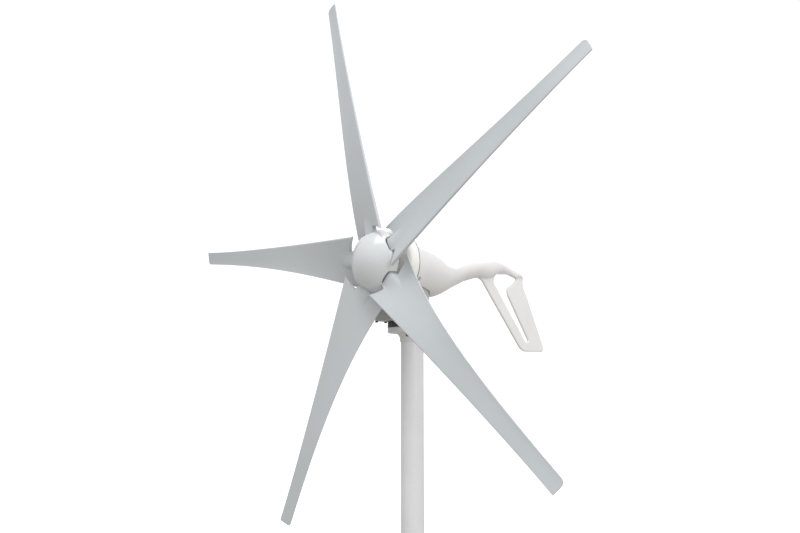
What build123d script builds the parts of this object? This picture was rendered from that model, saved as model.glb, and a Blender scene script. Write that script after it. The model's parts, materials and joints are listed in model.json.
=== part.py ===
from build123d import *
import math
import os

# Small five-blade wind turbine on the top length of its mast. Millimetres, +Z up.
# Origin: the mast's lower end, on the yaw axis. The rotor faces -Y and the tail points along +Y.

os.makedirs("parts", exist_ok=True)

# ---- Driving dimensions ----
rotor_radius = 600
blade_count = 5
first_blade_angle = 29.4
hub_height = 650
overhang = 135
mast_outer_radius = 24.15
mast_wall = 2.6
spigot_radius = 23.4
cut_depth = 200

# ---- Running and assembly clearances ----
running_gap = 0.05
ball_gap = 0.03
loose_gap = 0.25
cover_gap = 0.6

# ---- Stations along the rotor axis (Y) ----
tip_y = -overhang
lug_thickness = 10
lug_y = tip_y + 24
lug_front_y = lug_y - lug_thickness / 2
lug_back_y = lug_y + lug_thickness / 2
front_plate_thickness = 4
rear_plate_thickness = 6
hub_boss_length = 15
front_plate_y = lug_front_y - front_plate_thickness
rear_plate_y = lug_back_y + rear_plate_thickness
hub_boss_end_y = rear_plate_y + hub_boss_length
cover_front_y = tip_y + 60
front_bearing_y = tip_y + 66
housing_front_y = tip_y + 80
core_front_y = tip_y + 81
core_length = 24
rear_bearing_y = tip_y + 105.5
housing_back_y = tip_y + 115
cover_rim_y = tip_y + 84.2
shroud_front_y = tip_y + 86

# ---- Blades ----
blade_inner_radius = 50
root_arc_radius = 72
blade_sections = 9
section_spread = 1.5
camber_share = 0.035
trailing_thickness = 1.6
nose_radius_share = 0.4
# Share of the chord and share of the thickness on each side of the camber line
aerofoil_points = [(0.3, 0.5), (0.65, 0.36)]
tip_half_width = 15.5
tip_corner_radii = {1: 9, -1: 3}
# Neck sections: radius, half width, half thickness
neck_sections = [(56, 18, 9), (71, 17.5, 6.5), (84, 12, 4), (95, 4, 1.2)]
lug_width = 34
lug_inner_radius = 25
lug_outer_radius = 58
bolt_places = [(29, 0), (40, 10), (40, -10)]
blade_bolt_radius = 2.5
bolt_head_radius = 4.25
bolt_head_height = 5
bolt_socket = 2.3
bolt_socket_depth = 2.5
washer_radius = 4.9
washer_thickness = 1
nut_radius = 4.6
nut_height = 4

# ---- Hub and nose cone ----
hub_plate_radius = 48.5
hub_boss_radius = 18
key_width = 5
key_length = 14
ear_radius = 54
ear_round = 5.5
cone_screw_radius = 1.5
cone_screw_depth = 10
cone_post_radius = 3.5
pan_head_radius = 2.9
pan_head_height = 2
cone_apex_y = tip_y - 12
cone_shoulder = (57, tip_y + 11)
cone_rim = (66, tip_y + 28)
cone_wall = 2.5
side_bulge = 1
notch_inner_radius = 55.5
notch_width = 42
notch_corner = 10
notch_length = 40
notch_middle_radius = notch_inner_radius + notch_length / 2

# ---- Shaft and bearings ----
thread_radius = 6
hub_seat_radius = 7
bearing_bore = 7.5
bearing_outer = 17.5
bearing_width = 11
rear_bearing_width = 9
core_seat_radius = 8.5
shoulder_radius = 10
shaft_end_y = tip_y + 116.8
ball_radius = 2.6
ball_count = 9
yaw_bore = 15
yaw_outer = 23.5
yaw_bearing_width = 9
yaw_ball_radius = 2.5
yaw_ball_count = 20
race_share = 0.62
cage_half_wall = 0.6
cage_width_share = 2.7
circlip_thickness = 1.2
circlip_reach = 2
circlip_opening = (5, 7)

# ---- Generator ----
cover_radius = 70.5
cover_wall = 3.5
housing_radius = 60
housing_wall = 3
flange_radius = 66.8
stator_inner_radius = 40.3
tooth_count = 12
magnet_count = 10
magnet_radius = 39.5
core_radius = 36.5
magnet_spacer = (10, 3)
core_hole_radius = 7
core_hole_pitch = 22.5
core_hole_count = 6

# ---- Yaw head and mast top (heights) ----
block_bottom = hub_height - 118
block_top = hub_height - 42
block_half_width = 46
block_front_y = tip_y + 68
block_side_end_y = tip_y + 110
block_boss_radius = 36
block_corner = 3
flange_top = block_bottom - 0.8
flange_joint = hub_height - 131
mast_flange_bottom = hub_height - 142
collar_bottom = hub_height - 160
mast_top = flange_joint - 2
yaw_flange_radius = 52
lower_bearing_z = hub_height - 114
upper_bearing_z = hub_height - 76
shaft_step_z = hub_height - 64
shaft_top_z = hub_height - 2

# ---- Tail ----
# Each station: Y, height above the rotor axis, half width, half height.
tail_stations = [
    (shroud_front_y, 0, 70, 70),
    (-20, 0, 66.4, 66.4),
    (10, -2, 62, 62),
    (40, -6, 57.5, 57.5),
    (70, -7.5, 50, 50),
    (100, -5, 40, 40),
    (130, 0, 32, 32),
    (165, 9, 26.5, 26.5),
    (200, 17, 24, 24.5),
    (235, 22, 20, 25),
    (265, 25, 15.5, 25),
    (298, 30, 12, 18.5),
    (338, 27.5, 8.5, 12.5),
    (379, 19, 6, 10),
    (403, 12, 4.5, 7),
]
hollow_stations = 6
shroud_wall = 3
fin_half_thickness = 3
# Outlines in the side view: Y, height above the rotor axis, corner radius.
fin_outline = [
    (190, 12, 0),
    (240, -8, 12),
    (394, -172, 45),
    (485, -170, 6),
    (485, -155, 6),
    (422, -39, 30),
    (404, -8, 25),
    (401, 20, 6),
    (388, 28, 0),
    (298, 36, 0),
]
fin_opening = [
    (283, -8, 9),
    (289, 12, 9),
    (347, 17, 40),
    (379, 9, 3),
    (365, -4, 14),
    (338, -17, 10),
    (339, -34, 20),
    (424, -146, 4),
    (410, -148, 4),
]
tail_screw_angles = [60, 120, -30, -150]
tail_screw_y = tip_y + 94
tail_screw_radius = 2
tail_screw_head = 3.7
tail_screw_head_height = 2.2
tail_screw_seat = 67.8
tail_screw_length = 7
tail_pad = (9, 12)
tail_pad_height = 6.4

rotor_axis = Axis((0, 0, hub_height), (0, 1, 0))
rotor_section = Plane.XY.offset(hub_height)
side_view = Plane(origin=(0, 0, hub_height), x_dir=(0, 1, 0), z_dir=(1, 0, 0))
blade_angles = [first_blade_angle + 360 / blade_count * index for index in range(blade_count)]
half_step = 180 / blade_count


def front_plane(y):
    """Plane across the rotor axis that faces upwind, with X to the right and Z up."""
    return Plane(origin=(0, y, hub_height), x_dir=(1, 0, 0), z_dir=(0, -1, 0))


def radial_direction(angle):
    return (math.cos(math.radians(angle)), 0, math.sin(math.radians(angle)))


def planform_plane(angle, y):
    """Plane across the rotor axis with its X along one blade, facing upwind."""
    return Plane(origin=(0, y, hub_height), x_dir=radial_direction(angle), z_dir=(0, -1, 0))


def spoke_plane(angle, radius, y):
    """Plane across a spoke of the rotor axis: its X runs downwind and its Z points outwards."""
    out = radial_direction(angle)
    origin = (radius * out[0], y, hub_height + radius * out[2])
    return Plane(origin=origin, x_dir=(0, 1, 0), z_dir=out)


def write(name, builder):
    builder.part.label = name
    export_step(builder.part, f"parts/{name}.step")


def turned(section, axis, outline):
    """Ring or disc turned about an axis from its half section."""
    with BuildPart() as ring:
        with BuildSketch(section):
            with BuildLine():
                Polyline(*outline, close=True)
            make_face()
        revolve(axis=axis)
    return ring


def about_mast(outline):
    return turned(Plane.XZ, Axis.Z, outline)


def band(inner, outer, start, end):
    return [(inner, start), (outer, start), (outer, end), (inner, end)]


# ---- Blades ----
def along_span(radius, at_tip, at_root, power):
    share = (rotor_radius - radius) / (rotor_radius - blade_inner_radius)
    return at_tip + (at_root - at_tip) * share**power


def leading_edge(radius):
    """Leading edge at a radius: downwind of the tip plane, and across the blade."""
    return Vector(along_span(radius, -3, 4, 1), -along_span(radius, 15, 50, 1.5))


def trailing_edge(radius):
    return Vector(along_span(radius, 2, 44, 3.8), along_span(radius, 15, 55.5, 2.4))


def middle_line(radius):
    """Downwind place of the section where it crosses the blade's own axis."""
    lead = leading_edge(radius)
    trail = trailing_edge(radius)
    return lead.X + (trail.X - lead.X) * -lead.Y / (trail.Y - lead.Y)


def pitch(radius):
    """Angle of the section to the rotor's plane, in degrees."""
    chord = trailing_edge(radius) - leading_edge(radius)
    return math.degrees(math.atan2(chord.X, chord.Y))


def blade_outline(radius):
    """Aerofoil with a round nose, a blunt trailing edge and its hollow side upwind."""
    lead = leading_edge(radius)
    chord = trailing_edge(radius) - lead
    along = chord.normalized()
    downwind = Vector(along.Y, -along.X)
    thickness = along_span(radius, 3, 9, 1)
    nose = nose_radius_share * thickness
    nose_share = nose / chord.length

    def place(share, height):
        camber = camber_share * chord.length * 4 * share * (1 - share)
        return lead + chord * share + downwind * (camber + height)

    def surface(side):
        """Points of one surface from the nose to the trailing edge."""
        middle = [place(share, side * half * thickness) for share, half in aerofoil_points]
        return [place(nose_share, side * nose), *middle, place(1, side * trailing_thickness / 2)]

    upwind_points = surface(-1)
    downwind_points = surface(1)[::-1]
    Spline(*upwind_points)
    Line(upwind_points[-1], downwind_points[0])
    Spline(*downwind_points)
    ThreePointArc(downwind_points[-1], lead, upwind_points[0])


def make_blade(angle):
    with BuildPart() as blade:
        for index in range(blade_sections + 1):
            share = (index / blade_sections) ** section_spread
            radius = blade_inner_radius + (rotor_radius - blade_inner_radius) * share
            with BuildSketch(spoke_plane(angle, radius, tip_y)):
                with BuildLine():
                    blade_outline(radius)
                make_face()
        loft()
        # The root ends on an arc round the hub
        with BuildSketch(front_plane(tip_y)):
            Circle(root_arc_radius)
        extrude(amount=cut_depth, both=True, mode=Mode.SUBTRACT)
        # Rounded neck that rises from the root and runs out into the blade
        for radius, half_width, half_thickness in neck_sections:
            with BuildSketch(spoke_plane(angle, radius, tip_y)):
                with Locations((middle_line(radius), 0)):
                    Ellipse(half_thickness, half_width, rotation=-pitch(radius))
        loft()
        # Flat lug that the hub plates clamp
        with BuildSketch(planform_plane(angle, lug_y)):
            with Locations(((lug_inner_radius + lug_outer_radius) / 2, 0)):
                Rectangle(lug_outer_radius - lug_inner_radius, lug_width)
        extrude(amount=lug_thickness / 2, both=True)
        with BuildSketch(planform_plane(angle, lug_y)):
            with Locations(*bolt_places):
                Circle(blade_bolt_radius + loose_gap)
        extrude(amount=lug_thickness, both=True, mode=Mode.SUBTRACT)
        # Rounded tip corners
        for side, corner in tip_corner_radii.items():
            edge = tip_half_width * side
            with BuildSketch(planform_plane(angle, tip_y)):
                with Locations((rotor_radius - corner / 2 + 1, edge - side * (corner / 2 - 1))):
                    Rectangle(corner + 2, corner + 2)
                with Locations((rotor_radius - corner, edge - side * corner)):
                    Circle(corner, mode=Mode.SUBTRACT)
            extrude(amount=cut_depth, both=True, mode=Mode.SUBTRACT)
    return blade


for number, blade_angle in enumerate(blade_angles, start=1):
    write(f"blade_{number}", make_blade(blade_angle))


# ---- Hub ----
def hub_pattern():
    """Bolt places for every blade, in the front plane."""
    places = []
    for angle in blade_angles:
        turn = math.radians(angle)
        for out, across in bolt_places:
            x = out * math.cos(turn) - across * math.sin(turn)
            z = out * math.sin(turn) + across * math.cos(turn)
            places.append((x, z))
    return places


hub_holes = hub_pattern()


def ear_places(radius=ear_radius):
    """Places between the blades, where the cone's posts meet the hub."""
    return PolarLocations(radius, blade_count, start_angle=first_blade_angle + half_step)


with BuildPart() as hub_front_plate:
    with BuildSketch(front_plane(lug_front_y)):
        Circle(hub_plate_radius)
        Circle(hub_seat_radius, mode=Mode.SUBTRACT)
        with Locations(*hub_holes):
            Circle(blade_bolt_radius + loose_gap, mode=Mode.SUBTRACT)
    extrude(amount=front_plate_thickness)
write("hub_front_plate", hub_front_plate)

with BuildPart() as hub_rear_plate:
    with BuildSketch(front_plane(rear_plate_y)):
        Circle(hub_plate_radius)
        with ear_places():
            Circle(ear_round)
        with ear_places(ear_radius - ear_round):
            Rectangle(2 * ear_round, 2 * ear_round)
        with Locations(*hub_holes):
            Circle(blade_bolt_radius + loose_gap, mode=Mode.SUBTRACT)
        with ear_places():
            Circle(cone_screw_radius + loose_gap, mode=Mode.SUBTRACT)
    extrude(amount=rear_plate_thickness)
    with BuildSketch(front_plane(hub_boss_end_y)):
        Circle(hub_boss_radius)
    extrude(amount=hub_boss_length)
    with BuildSketch(front_plane(hub_boss_end_y)):
        Circle(hub_seat_radius)
        with Locations((0, hub_seat_radius)):
            Rectangle(key_width, key_width)
    extrude(amount=hub_boss_end_y - lug_back_y, mode=Mode.SUBTRACT)
write("hub_rear_plate", hub_rear_plate)

bolt_head_y = front_plate_y - washer_thickness
nut_end_y = rear_plate_y + washer_thickness + nut_height
bolt_end_y = nut_end_y + 1
with BuildPart() as blade_bolts:
    with BuildSketch(front_plane(bolt_head_y)):
        with Locations(*hub_holes):
            Circle(bolt_head_radius)
            RegularPolygon(bolt_socket, 6, mode=Mode.SUBTRACT)
    extrude(amount=bolt_head_height)
    with BuildSketch(front_plane(bolt_head_y)):
        with Locations(*hub_holes):
            Circle(bolt_head_radius)
    extrude(amount=bolt_head_height - bolt_socket_depth)
    with BuildSketch(front_plane(bolt_end_y)):
        with Locations(*hub_holes):
            Circle(blade_bolt_radius)
    extrude(amount=bolt_end_y - bolt_head_y)
write("blade_bolts", blade_bolts)

with BuildPart() as blade_washers:
    for washer_y in (front_plate_y, rear_plate_y + washer_thickness):
        with BuildSketch(front_plane(washer_y)):
            with Locations(*hub_holes):
                Circle(washer_radius)
                Circle(blade_bolt_radius + loose_gap, mode=Mode.SUBTRACT)
        extrude(amount=washer_thickness)
write("blade_washers", blade_washers)

with BuildPart() as blade_nuts:
    with BuildSketch(front_plane(nut_end_y)):
        with Locations(*hub_holes):
            RegularPolygon(nut_radius, 6)
            Circle(blade_bolt_radius, mode=Mode.SUBTRACT)
    extrude(amount=nut_height)
write("blade_nuts", blade_nuts)


# ---- Nose cone ----
def dome(inset):
    """Solid under the cone's outer surface moved inwards by the inset."""
    apex = (0, cone_apex_y + inset)
    shoulder = (cone_shoulder[0] - 0.6 * inset, cone_shoulder[1] + 0.8 * inset)
    rim = (cone_rim[0] - inset, cone_rim[1])
    cap_rise = shoulder[1] - apex[1]
    cap_radius = (shoulder[0] ** 2 + cap_rise**2) / (2 * cap_rise)
    middle = shoulder[0] / 2
    cap_middle = (middle, apex[1] + cap_radius - math.sqrt(cap_radius**2 - middle**2))
    side_middle = ((shoulder[0] + rim[0]) / 2 + side_bulge, (shoulder[1] + rim[1]) / 2)
    with BuildPart() as solid:
        with BuildSketch(rotor_section):
            with BuildLine():
                ThreePointArc(apex, cap_middle, shoulder)
                ThreePointArc(shoulder, side_middle, rim)
                Polyline(rim, (0, rim[1]), apex)
            make_face()
        revolve(axis=rotor_axis)
    return solid


with BuildPart() as cone_cavity:
    add(dome(cone_wall))
    with BuildSketch(front_plane(lug_back_y)):
        with ear_places():
            Circle(cone_post_radius)
    extrude(amount=cut_depth, mode=Mode.SUBTRACT)

with BuildPart() as nose_cone:
    add(dome(0))
    add(cone_cavity.part, mode=Mode.SUBTRACT)
    with BuildSketch(front_plane(cone_rim[1] + 1)):
        with PolarLocations(notch_middle_radius, blade_count, start_angle=first_blade_angle):
            RectangleRounded(notch_length, notch_width, notch_corner)
    extrude(amount=cut_depth, mode=Mode.SUBTRACT)
    with BuildSketch(front_plane(lug_back_y)):
        with ear_places():
            Circle(cone_screw_radius)
    extrude(amount=cone_screw_depth + 2, mode=Mode.SUBTRACT)
write("nose_cone", nose_cone)

with BuildPart() as nose_cone_screws:
    with BuildSketch(front_plane(rear_plate_y + pan_head_height)):
        with ear_places():
            Circle(pan_head_radius)
    extrude(amount=pan_head_height)
    with BuildSketch(front_plane(rear_plate_y)):
        with ear_places():
            Circle(cone_screw_radius)
    extrude(amount=rear_plate_thickness + cone_screw_depth)
write("nose_cone_screws", nose_cone_screws)

# ---- Main shaft and its fittings ----
thread_end_y = tip_y + 1
groove_depth = 0.7
spring_washer_radius = 10.5
spring_washer_split = 1
spring_washer_thickness = 2.5
shaft_nut_radius = 10.9
shaft_nut_height = 9.5
shaft_steps = [
    (thread_radius, thread_end_y, front_plate_y),
    (hub_seat_radius, front_plate_y, hub_boss_end_y),
    (bearing_bore, hub_boss_end_y, front_bearing_y + bearing_width),
    (shoulder_radius, front_bearing_y + bearing_width, core_front_y),
    (core_seat_radius, core_front_y, rear_bearing_y),
    (bearing_bore, rear_bearing_y, shaft_end_y),
]
circlip_y = rear_bearing_y + rear_bearing_width
key_end_y = hub_boss_end_y - 2
with BuildPart() as main_shaft:
    for radius, start, end in shaft_steps:
        with BuildSketch(front_plane(end)):
            Circle(radius)
        extrude(amount=end - start)
    with BuildSketch(front_plane(circlip_y + circlip_thickness)):
        Circle(bearing_bore + 1)
        Circle(bearing_bore - groove_depth, mode=Mode.SUBTRACT)
    extrude(amount=circlip_thickness, mode=Mode.SUBTRACT)
    with BuildSketch(front_plane(key_end_y)):
        with Locations((0, hub_seat_radius)):
            Rectangle(key_width, key_width)
    extrude(amount=key_length, mode=Mode.SUBTRACT)
write("main_shaft", main_shaft)

with BuildPart() as shaft_key:
    with BuildSketch(front_plane(key_end_y)):
        with Locations((0, hub_seat_radius)):
            Rectangle(key_width, key_width)
    extrude(amount=key_length)
write("shaft_key", shaft_key)

with BuildPart() as shaft_spring_washer:
    with BuildSketch(front_plane(front_plate_y)):
        Circle(spring_washer_radius)
        Circle(thread_radius + loose_gap, mode=Mode.SUBTRACT)
        with Locations(Location((spring_washer_radius, 0), 20)):
            Rectangle(spring_washer_radius, spring_washer_split, mode=Mode.SUBTRACT)
    extrude(amount=spring_washer_thickness)
write("shaft_spring_washer", shaft_spring_washer)

with BuildPart() as shaft_nut:
    with BuildSketch(front_plane(front_plate_y - spring_washer_thickness)):
        RegularPolygon(shaft_nut_radius, 6)
        Circle(thread_radius, mode=Mode.SUBTRACT)
    extrude(amount=shaft_nut_height)
write("shaft_nut", shaft_nut)

with BuildPart() as shaft_circlip:
    with BuildSketch(front_plane(circlip_y + circlip_thickness)):
        Circle(bearing_bore + circlip_reach)
        Circle(bearing_bore - groove_depth, mode=Mode.SUBTRACT)
        with Locations((0, -bearing_bore)):
            Rectangle(*circlip_opening, mode=Mode.SUBTRACT)
    extrude(amount=circlip_thickness)
write("shaft_circlip", shaft_circlip)


# ---- Ball bearings ----
def write_bearing(name, section, axis, ball_plane, sizes, start, balls_radius, balls_count):
    """Two races with a groove each, and the ring of balls between them."""
    bore, outer, width = sizes
    pitch_radius = (bore + outer) / 2
    middle = start + width / 2
    race_edge = balls_radius * race_share
    for side, inner_edge, outer_edge in (
        ("inner", bore, pitch_radius - race_edge),
        ("outer", pitch_radius + race_edge, outer),
    ):
        with BuildPart() as race:
            with BuildSketch(section):
                with Locations(((inner_edge + outer_edge) / 2, middle)):
                    Rectangle(outer_edge - inner_edge, width)
                with Locations((pitch_radius, middle)):
                    Circle(balls_radius + ball_gap, mode=Mode.SUBTRACT)
            revolve(axis=axis)
        write(f"{name}_{side}", race)
    with BuildPart(ball_plane) as balls:
        with PolarLocations(pitch_radius, balls_count):
            Sphere(balls_radius)
    write(f"{name}_balls", balls)


def write_cage(name, ball_plane):
    """Ring with a pocket for every ball of a rotor bearing."""
    pitch_radius = (bearing_bore + bearing_outer) / 2
    ring_width = ball_radius * cage_width_share
    with BuildPart(ball_plane) as cage:
        Cylinder(pitch_radius + cage_half_wall, ring_width)
        Cylinder(pitch_radius - cage_half_wall, ring_width, mode=Mode.SUBTRACT)
        with PolarLocations(pitch_radius, ball_count):
            Cylinder(ball_radius + ball_gap, 2 * ball_radius, rotation=(0, 90, 0), mode=Mode.SUBTRACT)
    write(f"{name}_cage", cage)


for bearing_name, bearing_start, width in (
    ("front_bearing", front_bearing_y, bearing_width),
    ("rear_bearing", rear_bearing_y, rear_bearing_width),
):
    bearing_plane = front_plane(bearing_start + width / 2)
    bearing_sizes = (bearing_bore, bearing_outer, width)
    write_bearing(
        bearing_name,
        rotor_section,
        rotor_axis,
        bearing_plane,
        bearing_sizes,
        bearing_start,
        ball_radius,
        ball_count,
    )
    write_cage(bearing_name, bearing_plane)

yaw_bearing_sizes = (yaw_bore, yaw_outer, yaw_bearing_width)
for bearing_name, bearing_start in (("yaw_upper", upper_bearing_z), ("yaw_lower", lower_bearing_z)):
    bearing_plane = Plane.XY.offset(bearing_start + yaw_bearing_width / 2)
    write_bearing(
        bearing_name,
        Plane.XZ,
        Axis.Z,
        bearing_plane,
        yaw_bearing_sizes,
        bearing_start,
        yaw_ball_radius,
        yaw_ball_count,
    )

# ---- Generator rotor ----
with BuildPart() as rotor_core:
    with BuildSketch(front_plane(core_front_y + core_length)):
        Circle(core_radius)
        Circle(core_seat_radius, mode=Mode.SUBTRACT)
        with PolarLocations(core_hole_pitch, core_hole_count):
            Circle(core_hole_radius, mode=Mode.SUBTRACT)
    extrude(amount=core_length)
write("rotor_core", rotor_core)

with BuildPart() as rotor_magnets:
    with BuildSketch(front_plane(core_front_y + core_length)):
        Circle(magnet_radius)
        Circle(core_radius, mode=Mode.SUBTRACT)
        with PolarLocations(core_radius, magnet_count):
            Rectangle(*magnet_spacer, mode=Mode.SUBTRACT)
    extrude(amount=core_length)
write("rotor_magnets", rotor_magnets)

# ---- Generator stator ----
tooth_width = 9
tooth_start_angle = 15
shoe_depth = 2.6
shoe_width = 15
yoke_radius = 51
tooth_middle_radius = (stator_inner_radius + yoke_radius) / 2
stator_radius = housing_radius - housing_wall
with BuildPart() as stator_core:
    with BuildSketch(front_plane(core_front_y + core_length)):
        Circle(stator_radius)
        Circle(yoke_radius, mode=Mode.SUBTRACT)
        with PolarLocations(tooth_middle_radius, tooth_count, start_angle=tooth_start_angle):
            Rectangle(yoke_radius - stator_inner_radius + 4, tooth_width)
        with PolarLocations(stator_inner_radius + 1.2, tooth_count, start_angle=tooth_start_angle):
            Rectangle(shoe_depth, shoe_width)
        Circle(stator_inner_radius, mode=Mode.SUBTRACT)
    extrude(amount=core_length)
write("stator_core", stator_core)

coil_radii = (43.2, 50.4)
coil_build = 3.2
coil_corner = 3
with BuildPart() as stator_windings:
    for index in range(tooth_count):
        coil_angle = tooth_start_angle + 360 / tooth_count * index
        with BuildSketch(spoke_plane(coil_angle, coil_radii[0], core_front_y + core_length / 2)):
            RectangleRounded(core_length + 2 * coil_build, tooth_width + 2 * coil_build, coil_corner)
            Rectangle(core_length, tooth_width, mode=Mode.SUBTRACT)
        extrude(amount=coil_radii[1] - coil_radii[0])
write("stator_windings", stator_windings)

# ---- Generator housing, front cover and seals ----
housing_screw_radius = 62.9
housing_thread = 1.5
housing_screw_head = 2.8
housing_screw_head_height = 3
flange_thickness = 5
cap_wall = 3.5
back_wall = 4
o_ring_radius = 1.1
o_ring_groove = (4.4, 2.6)
seal_radius = 13
cover_face = 4
bearing_boss = 22
screw_boss = 4
housing_screw_reach = 10
housing_screw_angles = [90 * index for index in range(4)]
housing_screw_places = [
    (
        housing_screw_radius * math.cos(math.radians(angle)),
        housing_screw_radius * math.sin(math.radians(angle)),
    )
    for angle in housing_screw_angles
]
lead_places = [(-6, 46), (0, 46), (6, 46)]
lead_radius = 1.5
pocket_back_y = tip_y + 117.3
cap_back_y = tip_y + 119.5

with BuildPart() as generator_housing:
    with BuildSketch(rotor_section):
        with BuildLine():
            Polyline(
                (stator_radius, housing_front_y),
                (flange_radius, housing_front_y),
                (flange_radius, housing_front_y + flange_thickness),
                (housing_radius, housing_front_y + flange_thickness),
                (housing_radius, housing_back_y),
                (bearing_outer + cap_wall, housing_back_y),
                (bearing_outer + cap_wall, cap_back_y),
                (0, cap_back_y),
                (0, pocket_back_y),
                (bearing_outer, pocket_back_y),
                (bearing_outer, rear_bearing_y),
                (bearing_outer + cap_wall, rear_bearing_y),
                (bearing_outer + cap_wall, housing_back_y - back_wall),
                (stator_radius, housing_back_y - back_wall),
                close=True,
            )
        make_face()
        with Locations((flange_radius, housing_front_y + flange_thickness / 2)):
            Rectangle(*o_ring_groove, mode=Mode.SUBTRACT)
    revolve(axis=rotor_axis)
    for angle in tail_screw_angles:
        with BuildSketch(spoke_plane(angle, housing_radius - 1, tail_screw_y)):
            RectangleRounded(*tail_pad, tail_screw_radius)
        extrude(amount=tail_pad_height)
        with BuildSketch(spoke_plane(angle, housing_radius - 1, tail_screw_y)):
            Circle(tail_screw_radius)
        extrude(amount=tail_pad_height + 2, mode=Mode.SUBTRACT)
    with BuildSketch(front_plane(housing_front_y + flange_thickness + 1)):
        with Locations(*housing_screw_places):
            Circle(housing_thread + loose_gap)
    extrude(amount=flange_thickness + 2, mode=Mode.SUBTRACT)
    with BuildSketch(front_plane(housing_back_y + 1)):
        with Locations(*lead_places):
            Circle(lead_radius + loose_gap)
    extrude(amount=back_wall + 2, mode=Mode.SUBTRACT)
write("generator_housing", generator_housing)

with BuildPart() as front_cover:
    with BuildSketch(rotor_section):
        with BuildLine():
            FilletPolyline(
                (seal_radius, cover_front_y),
                (cover_radius, cover_front_y),
                (cover_radius, cover_rim_y),
                (cover_radius - cover_wall, cover_rim_y),
                (cover_radius - cover_wall, cover_front_y + cover_face),
                (bearing_boss, cover_front_y + cover_face),
                (bearing_boss, front_bearing_y + bearing_width),
                (bearing_outer, front_bearing_y + bearing_width),
                (bearing_outer, front_bearing_y),
                (seal_radius, front_bearing_y),
                radius=[0, 12, 0.8, 0, 8, 0, 0, 0, 0, 0],
                close=True,
            )
        make_face()
    revolve(axis=rotor_axis)
    with BuildSketch(front_plane(housing_front_y)):
        with Locations(*housing_screw_places):
            Circle(screw_boss)
    extrude(amount=housing_front_y - cover_front_y - cover_face - 2)
    with BuildSketch(front_plane(housing_front_y)):
        with Locations(*housing_screw_places):
            Circle(housing_thread)
    extrude(amount=housing_screw_reach, mode=Mode.SUBTRACT)
write("front_cover", front_cover)

with BuildPart() as front_cover_screws:
    with BuildSketch(front_plane(housing_front_y + flange_thickness + housing_screw_head_height)):
        with Locations(*housing_screw_places):
            Circle(housing_screw_head)
    extrude(amount=housing_screw_head_height)
    with BuildSketch(front_plane(housing_front_y + flange_thickness)):
        with Locations(*housing_screw_places):
            Circle(housing_thread)
    extrude(amount=flange_thickness + housing_screw_reach - 1)
write("front_cover_screws", front_cover_screws)

with BuildPart() as housing_o_ring:
    with BuildSketch(rotor_section):
        with Locations((cover_radius - cover_wall - o_ring_radius, housing_front_y + flange_thickness / 2)):
            Circle(o_ring_radius)
    revolve(axis=rotor_axis)
write("housing_o_ring", housing_o_ring)

shaft_seal = turned(
    rotor_section,
    rotor_axis,
    band(bearing_bore + running_gap, seal_radius, cover_front_y + 0.5, front_bearing_y - 0.5),
)
write("shaft_seal", shaft_seal)

# ---- Yaw housing ----
block_wall = 6
block_side_wall = 9
pocket_front_y = block_front_y + block_wall
pocket_end_y = tip_y + 103
pocket_corner = 10
bearing_ledge = 2
yaw_screw_radius = 2
yaw_screw_head = 3
yaw_screw_head_height = 2.6
yaw_screw_socket = 1.8
yaw_screw_length = 22
yaw_screw_places = [(side * 43, y) for side in (-1, 1) for y in (tip_y + 71.5, tip_y + 98)]


def yaw_plan(gap):
    """Plan of the yaw housing, moved out by the gap: a wide front and a round end about the mast."""
    with Locations((0, (block_front_y + block_side_end_y) / 2)):
        RectangleRounded(
            2 * (block_half_width + gap),
            block_side_end_y - block_front_y + 2 * gap,
            block_corner,
        )
    Circle(block_boss_radius + gap)
    make_hull()


with BuildPart() as yaw_housing:
    with BuildSketch(Plane.XY.offset(block_bottom)):
        yaw_plan(0)
    extrude(amount=block_top - block_bottom)
    with BuildSketch(front_plane(shroud_front_y)):
        Circle(cover_radius + cover_gap)
    extrude(amount=cut_depth, mode=Mode.SUBTRACT)
    with BuildSketch(front_plane(cap_back_y)):
        Circle(housing_radius)
    extrude(amount=cut_depth, mode=Mode.SUBTRACT)
    with BuildSketch(Plane.XY.offset(block_bottom + block_wall)):
        with Locations((0, (pocket_front_y + pocket_end_y) / 2)):
            RectangleRounded(
                2 * (block_half_width - block_side_wall),
                pocket_end_y - pocket_front_y,
                pocket_corner,
            )
    extrude(amount=cut_depth, mode=Mode.SUBTRACT)
    with BuildSketch(Plane.XY.offset(block_bottom)):
        Circle(yaw_outer)
    extrude(amount=lower_bearing_z + yaw_bearing_width - block_bottom, mode=Mode.SUBTRACT)
    with BuildSketch(Plane.XY.offset(block_bottom)):
        Circle(yaw_outer - bearing_ledge)
    extrude(amount=cut_depth, mode=Mode.SUBTRACT)
    with BuildSketch(Plane.XY.offset(upper_bearing_z)):
        Circle(yaw_outer)
    extrude(amount=cut_depth, mode=Mode.SUBTRACT)
    with BuildSketch(Plane.XY.offset(block_bottom)):
        with Locations(*yaw_screw_places):
            Circle(yaw_screw_radius)
    extrude(amount=yaw_screw_length + 2, mode=Mode.SUBTRACT)
write("yaw_housing", yaw_housing)

with BuildPart() as yaw_housing_screws:
    with BuildSketch(Plane.XY.offset(block_bottom - yaw_screw_head_height)):
        with Locations(*yaw_screw_places):
            Circle(yaw_screw_head)
            RegularPolygon(yaw_screw_socket, 6, mode=Mode.SUBTRACT)
    extrude(amount=yaw_screw_head_height)
    with BuildSketch(Plane.XY.offset(block_bottom - 1)):
        with Locations(*yaw_screw_places):
            Circle(yaw_screw_radius)
    extrude(amount=yaw_screw_length + 1)
write("yaw_housing_screws", yaw_housing_screws)


# ---- Tail shroud ----
mouth_bottom = hub_height - 80
mouth_height = 50


def tail_loft(stations, inset):
    with BuildPart() as body:
        for y, height, half_width, half_height in stations:
            with BuildSketch(Plane(origin=(0, y, hub_height + height), x_dir=(1, 0, 0), z_dir=(0, -1, 0))):
                Ellipse(half_width - inset, half_height - inset)
        loft()
    return body


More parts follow.
